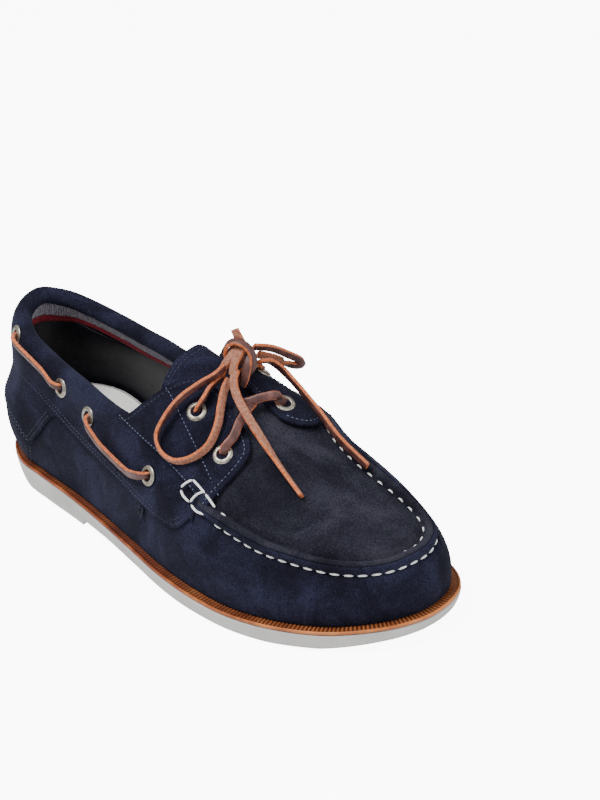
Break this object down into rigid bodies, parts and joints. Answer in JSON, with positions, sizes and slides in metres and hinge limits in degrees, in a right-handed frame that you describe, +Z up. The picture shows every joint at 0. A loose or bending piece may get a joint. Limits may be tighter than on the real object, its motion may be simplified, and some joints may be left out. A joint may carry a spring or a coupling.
{
  "type": "boat shoe",
  "caption": "Low suede boat shoe with a raised moccasin seam at the toe, a side lace through metal eyelets round the collar, a rawhide bow and a thin light rubber sole.",
  "frame": {"origin": "middle of the shoe's plan, on the floor that the sole stands on", "axes": "+X towards the toe along the last, +Y towards the inner side of the right foot, +Z up"},
  "size_m": [0.3019, 0.1081, 0.1219],
  "materials": {
    "suede": "napped navy suede",
    "rubber": "smooth moulded off-white rubber",
    "welt_leather": "tan leather with wheeled ribs",
    "footbed": "pale smooth sock lining",
    "nickel": "aged nickel with a dotted rim",
    "rawhide": "brown rawhide thong, cut edges lighter"
  },
  "bodies": {
    "root": {"outsole": "rubber", "welt": "welt_leather", "insole": "footbed", "upper": "suede", "tongue": "suede", "side_tab": "suede", "eyelet_throat_lower_outer": "nickel", "eyelet_throat_lower_inner": "nickel", "eyelet_throat_upper_outer": "nickel", "eyelet_throat_upper_inner": "nickel", "eyelet_collar_front_outer": "nickel", "eyelet_collar_front_inner": "nickel", "eyelet_collar_middle_outer": "nickel", "eyelet_collar_middle_inner": "nickel", "eyelet_collar_rear_outer": "nickel", "eyelet_collar_rear_inner": "nickel", "eyelet_collar_back_outer": "nickel", "eyelet_collar_back_inner": "nickel", "lace_side_rear_outer": "rawhide", "lace_side_rear_inner": "rawhide", "lace_side_front_outer": "rawhide", "lace_side_front_inner": "rawhide", "lace_crossing": "rawhide", "lace_tie_outer": "rawhide", "lace_tie_inner": "rawhide", "lace_knot": "rawhide", "lace_loop_outer": "rawhide", "lace_loop_inner": "rawhide", "lace_end_middle": "rawhide", "lace_end_inner": "rawhide"}
  },
  "joints": []
}
